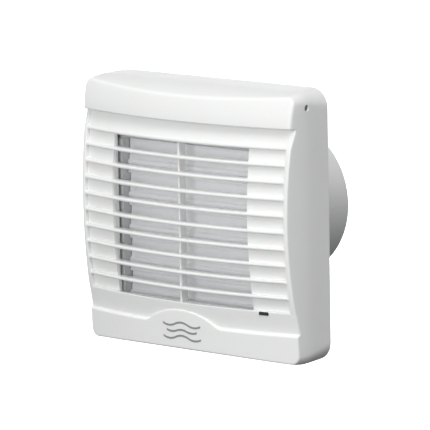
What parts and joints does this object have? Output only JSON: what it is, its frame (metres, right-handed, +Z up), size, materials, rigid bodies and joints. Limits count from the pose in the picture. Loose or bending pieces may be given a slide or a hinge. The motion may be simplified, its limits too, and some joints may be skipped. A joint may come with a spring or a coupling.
{
  "type": "duct ventilation fan",
  "caption": "Square wall fan with a bowed louvre grille, a linked shutter behind it and a round duct spigot at the back.",
  "frame": {"origin": "the duct axis where it crosses the wall face, which is also the centre of the four wall screws", "axes": "+X right as seen from the room, +Y into the wall along the duct, +Z up"},
  "size_m": [0.17, 0.1154, 0.17],
  "materials": {
    "actuator_case": "moulded thermoplastic case",
    "black_rubber": "matt black rubber",
    "blade_plastic": "white moulded plastic",
    "board_laminate": "green glass-epoxy board",
    "capacitor_yellow": "yellow film capacitor case",
    "clamp_plastic": "white polyamide",
    "clamp_steel": "zinc-plated pressed steel",
    "cover_plastic": "white moulded ABS, satin with a fine even texture",
    "enamelled_copper": "varnished copper winding",
    "frame_plastic": "light grey moulded plastic",
    "housing_plastic": "off-white moulded ABS",
    "impeller_plastic": "light grey moulded plastic",
    "knob_white": "white moulded rotor",
    "lamination_steel": "stacked steel laminations",
    "lead_grey": "grey PVC sheath",
    "led_clear": "diffused red epoxy lamp",
    "lens_black": "smoked black acrylic, dark while unlit",
    "link_plastic": "natural acetal",
    "mark_grey": "dark grey pad-printed ink",
    "motor_steel": "dark zinc-coated pressed steel",
    "pipe_clear": "clear moulded acrylic",
    "pot_blue": "blue trimmer case",
    "relay_black": "black relay case",
    "screw_steel": "bright zinc-plated steel",
    "seal_foam": "closed-cell black foam",
    "shaft_steel": "ground steel",
    "sintered_bronze": "oil-filled sintered bronze",
    "spring_steel": "spring wire",
    "terminal_brass": "plated brass cages",
    "terminal_plastic": "grey-beige polyamide"
  },
  "bodies": {
    "housing": {"housing": "housing_plastic", "support_posts": "housing_plastic", "spigot_tube": "housing_plastic", "motor_cradle": "housing_plastic", "wall_seal": "seal_foam", "motor_can": "motor_steel", "motor_end_cap": "motor_steel", "bearing_front": "sintered_bronze", "bearing_rear": "sintered_bronze", "stator_core": "lamination_steel", "motor_coils": "enamelled_copper", "motor_bushes": "black_rubber", "motor_clamp": "clamp_steel", "motor_clamp_screws": "screw_steel", "shutter_frame": "frame_plastic", "shutter_screws": "screw_steel", "actuator_body": "actuator_case", "actuator_strap": "clamp_steel", "strap_screws": "screw_steel", "return_spring": "spring_steel", "control_board": "board_laminate", "lamp_board": "board_laminate", "board_screws": "screw_steel", "indicator_led": "led_clear", "terminal_block": "terminal_plastic", "terminal_cages": "terminal_brass", "terminal_screws": "screw_steel", "dropper_capacitor": "capacitor_yellow", "relay": "relay_black", "timer_pot": "pot_blue", "cable_grommet": "black_rubber", "cable_clamp": "clamp_plastic", "cable_clamp_screws": "screw_steel", "motor_lead": "lead_grey", "actuator_lead": "lead_grey", "lamp_lead": "lead_grey"},
    "cover": {"front_cover": "cover_plastic", "front_grille": "cover_plastic", "badge_mark": "mark_grey", "indicator_lens": "lens_black", "light_pipe": "pipe_clear", "cover_screws": "screw_steel"},
    "rotor": {"impeller": "impeller_plastic", "motor_shaft": "shaft_steel", "impeller_clip": "spring_steel", "rotor_core": "lamination_steel"},
    "link": {"link_bar": "link_plastic"},
    "plunger": {"actuator_plunger": "link_plastic"},
    "knob": {"timer_knob": "knob_white"},
    "blade_1": {"shutter_blade_1": "blade_plastic", "crank_1": "link_plastic"},
    "blade_2": {"shutter_blade_2": "blade_plastic", "crank_2": "link_plastic"},
    "blade_3": {"shutter_blade_3": "blade_plastic", "crank_3": "link_plastic"},
    "blade_4": {"shutter_blade_4": "blade_plastic", "crank_4": "link_plastic"},
    "blade_5": {"shutter_blade_5": "blade_plastic", "crank_5": "link_plastic"}
  },
  "joints": [
    {"name": "cover_pull", "type": "slide", "parent": "housing", "child": "cover", "axis": [0, -1, 0], "range_m": [0, 0.06]},
    {"name": "rotor_spin", "type": "hinge", "parent": "housing", "child": "rotor", "pos_m": [0, 0, 0], "axis": [0, 1, 0], "continuous": true},
    {"name": "blade_1_hinge", "type": "hinge", "parent": "housing", "child": "blade_1", "pos_m": [0, -0.025, 0.0311], "axis": [-1, 0, 0], "range_deg": [0, 75], "deforming": ["return_spring"]},
    {"name": "blade_2_hinge", "type": "hinge", "parent": "housing", "child": "blade_2", "pos_m": [0, -0.025, 0.0103], "axis": [-1, 0, 0], "range_deg": [0, 75]},
    {"name": "blade_3_hinge", "type": "hinge", "parent": "housing", "child": "blade_3", "pos_m": [0, -0.025, -0.0105], "axis": [-1, 0, 0], "range_deg": [0, 75]},
    {"name": "blade_4_hinge", "type": "hinge", "parent": "housing", "child": "blade_4", "pos_m": [0, -0.025, -0.0313], "axis": [-1, 0, 0], "range_deg": [0, 75]},
    {"name": "blade_5_hinge", "type": "hinge", "parent": "housing", "child": "blade_5", "pos_m": [0, -0.025, -0.0521], "axis": [-1, 0, 0], "range_deg": [0, 75]},
    {"name": "link_hinge", "type": "hinge", "parent": "blade_1", "child": "link", "pos_m": [0.0618, -0.01786, 0.03658], "axis": [-1, 0, 0], "range_deg": [-75, 0]},
    {"name": "plunger_slide", "type": "slide", "parent": "housing", "child": "plunger", "axis": [0, 0, -1], "range_m": [0, 0.01096], "stiffness_N_per_m": 100, "springref_m": -0.0025},
    {"name": "timer_turn", "type": "hinge", "parent": "housing", "child": "knob", "pos_m": [0.027, -0.0095, -0.0695], "axis": [0, 1, 0], "range_deg": [0, 270]}
  ],
  "couplings": [
    {"joint": "blade_1_hinge", "follows": "plunger_slide", "rad_per_m": 119.45},
    {"joint": "blade_2_hinge", "follows": "plunger_slide", "rad_per_m": 119.45},
    {"joint": "blade_3_hinge", "follows": "plunger_slide", "rad_per_m": 119.45},
    {"joint": "blade_4_hinge", "follows": "plunger_slide", "rad_per_m": 119.45},
    {"joint": "blade_5_hinge", "follows": "plunger_slide", "rad_per_m": 119.45},
    {"joint": "link_hinge", "follows": "plunger_slide", "rad_per_m": -119.45}
  ]
}
